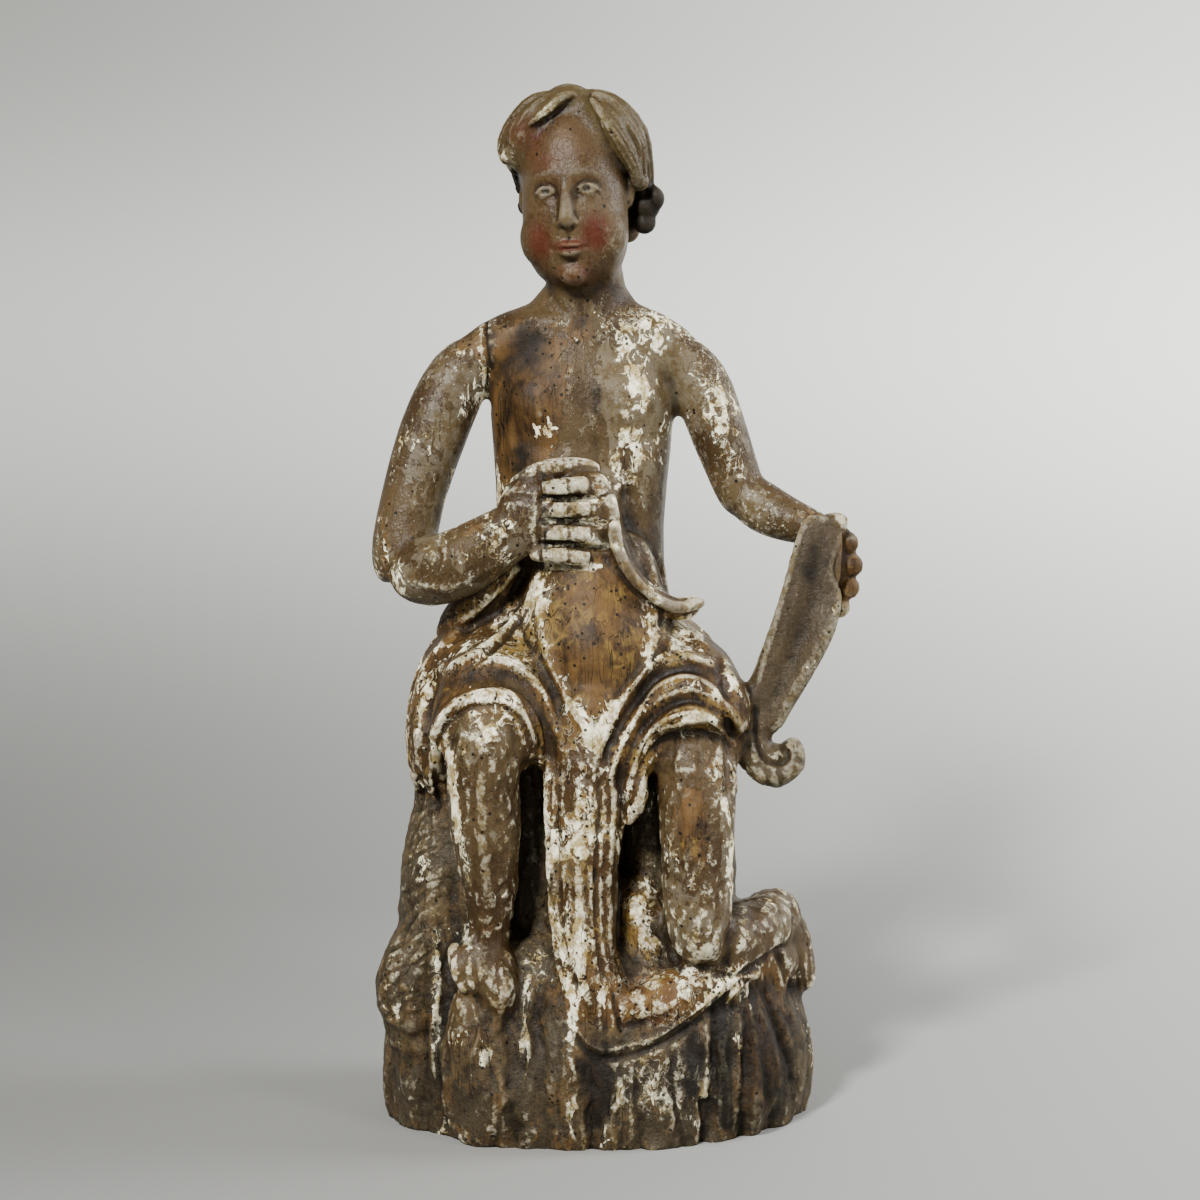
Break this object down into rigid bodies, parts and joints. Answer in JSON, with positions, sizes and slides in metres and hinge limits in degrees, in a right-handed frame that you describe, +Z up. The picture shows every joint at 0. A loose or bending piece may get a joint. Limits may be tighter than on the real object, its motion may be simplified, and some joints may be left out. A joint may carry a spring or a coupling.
{
  "type": "carved wooden angel figure",
  "caption": "Carved wooden angel half kneeling on a rock, one hand on its belly and the other holding a scroll, with worn paint.",
  "frame": {"origin": "on the flat underside, below the middle of the rock", "axes": "+Z up along the figure, +Y away from the viewer, +X to the viewer's right"},
  "size_m": [0.3102, 0.2018, 0.65],
  "materials": {
    "carved_wood": "old softwood with worn, flaking paint over white ground, dark in the hollows"
  },
  "bodies": {
    "root": {"carved_angel": "carved_wood"}
  },
  "joints": []
}
